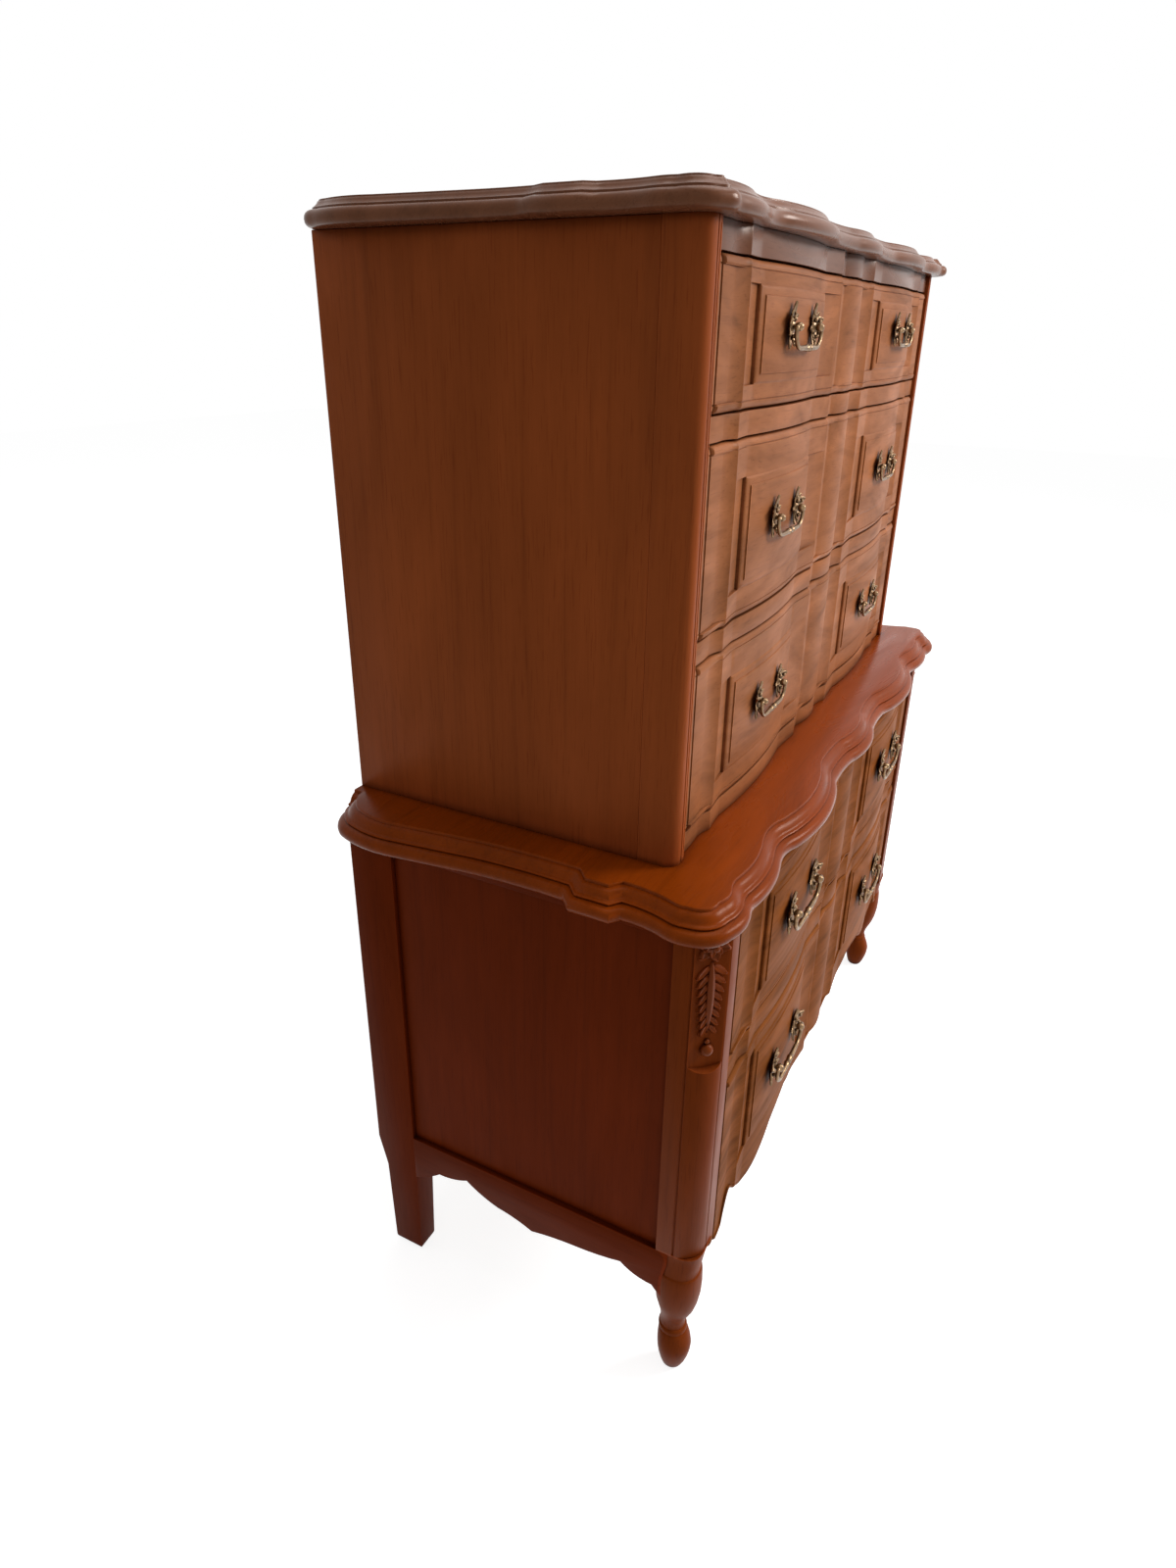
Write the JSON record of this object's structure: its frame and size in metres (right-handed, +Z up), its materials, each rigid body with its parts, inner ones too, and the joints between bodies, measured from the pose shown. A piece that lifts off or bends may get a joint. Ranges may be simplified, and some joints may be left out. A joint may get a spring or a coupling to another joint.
{
  "type": "chest on chest",
  "caption": "Serpentine-fronted chest on chest: an upper case of drawers on a wider lower case with moulded tops, cabriole front legs, carved posts and brass bail pulls.",
  "frame": {"origin": "centre of the outside box on the floor, between the feet", "axes": "+Z up, +X to the right seen from the front, drawers face -Y"},
  "size_m": [1.1662, 0.5134, 1.365],
  "materials": {
    "cherry": "satin lacquer",
    "secondary_wood": "unfinished",
    "drawer_wood": "sealed",
    "antique_brass": "antique, polished high spots"
  },
  "bodies": {
    "case": {"upper_top": "cherry", "upper_side_right": "cherry", "upper_side_left": "cherry", "upper_post_right": "cherry", "upper_post_left": "cherry", "upper_back_panel": "secondary_wood", "upper_frieze_rail": "cherry", "upper_drawer_rails": "cherry", "upper_base_rail": "cherry", "upper_runners": "secondary_wood", "upper_dust_panels": "secondary_wood", "lower_top": "cherry", "lower_post_right": "cherry", "lower_post_left": "cherry", "lower_back_post_right": "cherry", "lower_back_post_left": "cherry", "lower_side_panel_right": "cherry", "lower_side_panel_left": "cherry", "lower_side_rails": "cherry", "lower_side_aprons": "cherry", "lower_frieze_rail": "cherry", "lower_rail_4_5": "cherry", "lower_runners": "secondary_wood", "lower_dust_panels": "secondary_wood", "lower_base_rail": "cherry", "lower_back": "secondary_wood", "post_carving_right": "cherry", "post_carving_left": "cherry", "drawer_stops": "secondary_wood"},
    "drawer_1": {"drawer_1_front": "cherry", "drawer_1_box": "drawer_wood", "drawer_1_bottom": "drawer_wood", "drawer_1_pull_posts": "antique_brass"},
    "drawer_1_bail_left": {"drawer_1_bail_left": "antique_brass"},
    "drawer_1_bail_right": {"drawer_1_bail_right": "antique_brass"},
    "drawer_2": {"drawer_2_front": "cherry", "drawer_2_box": "drawer_wood", "drawer_2_bottom": "drawer_wood", "drawer_2_pull_posts": "antique_brass"},
    "drawer_2_bail_left": {"drawer_2_bail_left": "antique_brass"},
    "drawer_2_bail_right": {"drawer_2_bail_right": "antique_brass"},
    "drawer_3": {"drawer_3_front": "cherry", "drawer_3_box": "drawer_wood", "drawer_3_bottom": "drawer_wood", "drawer_3_pull_posts": "antique_brass"},
    "drawer_3_bail_left": {"drawer_3_bail_left": "antique_brass"},
    "drawer_3_bail_right": {"drawer_3_bail_right": "antique_brass"},
    "drawer_4": {"drawer_4_front": "cherry", "drawer_4_box": "drawer_wood", "drawer_4_bottom": "drawer_wood", "drawer_4_pull_posts": "antique_brass"},
    "drawer_4_bail_left": {"drawer_4_bail_left": "antique_brass"},
    "drawer_4_bail_right": {"drawer_4_bail_right": "antique_brass"},
    "drawer_5": {"drawer_5_front": "cherry", "drawer_5_box": "drawer_wood", "drawer_5_bottom": "drawer_wood", "drawer_5_pull_posts": "antique_brass"},
    "drawer_5_bail_left": {"drawer_5_bail_left": "antique_brass"},
    "drawer_5_bail_right": {"drawer_5_bail_right": "antique_brass"}
  },
  "joints": [
    {"name": "drawer_1_slide", "type": "slide", "parent": "case", "child": "drawer_1", "axis": [0, -1, 0], "range_m": [0, 0.27]},
    {"name": "drawer_1_bail_left_swing", "type": "hinge", "parent": "drawer_1", "child": "drawer_1_bail_left", "pos_m": [-0.252, -0.17525, 1.25875], "axis": [-1, 0, 0], "range_deg": [0, 80]},
    {"name": "drawer_1_bail_right_swing", "type": "hinge", "parent": "drawer_1", "child": "drawer_1_bail_right", "pos_m": [0.252, -0.17525, 1.25875], "axis": [-1, 0, 0], "range_deg": [0, 80]},
    {"name": "drawer_2_slide", "type": "slide", "parent": "case", "child": "drawer_2", "axis": [0, -1, 0], "range_m": [0, 0.27]},
    {"name": "drawer_2_bail_left_swing", "type": "hinge", "parent": "drawer_2", "child": "drawer_2_bail_left", "pos_m": [-0.252, -0.17525, 1.07225], "axis": [-1, 0, 0], "range_deg": [0, 80]},
    {"name": "drawer_2_bail_right_swing", "type": "hinge", "parent": "drawer_2", "child": "drawer_2_bail_right", "pos_m": [0.252, -0.17525, 1.07225], "axis": [-1, 0, 0], "range_deg": [0, 80]},
    {"name": "drawer_3_slide", "type": "slide", "parent": "case", "child": "drawer_3", "axis": [0, -1, 0], "range_m": [0, 0.27]},
    {"name": "drawer_3_bail_left_swing", "type": "hinge", "parent": "drawer_3", "child": "drawer_3_bail_left", "pos_m": [-0.252, -0.17525, 0.8625], "axis": [-1, 0, 0], "range_deg": [0, 80]},
    {"name": "drawer_3_bail_right_swing", "type": "hinge", "parent": "drawer_3", "child": "drawer_3_bail_right", "pos_m": [0.252, -0.17525, 0.8625], "axis": [-1, 0, 0], "range_deg": [0, 80]},
    {"name": "drawer_4_slide", "type": "slide", "parent": "case", "child": "drawer_4", "axis": [0, -1, 0], "range_m": [0, 0.33]},
    {"name": "drawer_4_bail_left_swing", "type": "hinge", "parent": "drawer_4", "child": "drawer_4_bail_left", "pos_m": [-0.252, -0.2462, 0.5995], "axis": [-1, 0, 0], "range_deg": [0, 80]},
    {"name": "drawer_4_bail_right_swing", "type": "hinge", "parent": "drawer_4", "child": "drawer_4_bail_right", "pos_m": [0.252, -0.2462, 0.5995], "axis": [-1, 0, 0], "range_deg": [0, 80]},
    {"name": "drawer_5_slide", "type": "slide", "parent": "case", "child": "drawer_5", "axis": [0, -1, 0], "range_m": [0, 0.33]},
    {"name": "drawer_5_bail_left_swing", "type": "hinge", "parent": "drawer_5", "child": "drawer_5_bail_left", "pos_m": [-0.252, -0.2462, 0.35725], "axis": [-1, 0, 0], "range_deg": [0, 80]},
    {"name": "drawer_5_bail_right_swing", "type": "hinge", "parent": "drawer_5", "child": "drawer_5_bail_right", "pos_m": [0.252, -0.2462, 0.35725], "axis": [-1, 0, 0], "range_deg": [0, 80]}
  ]
}
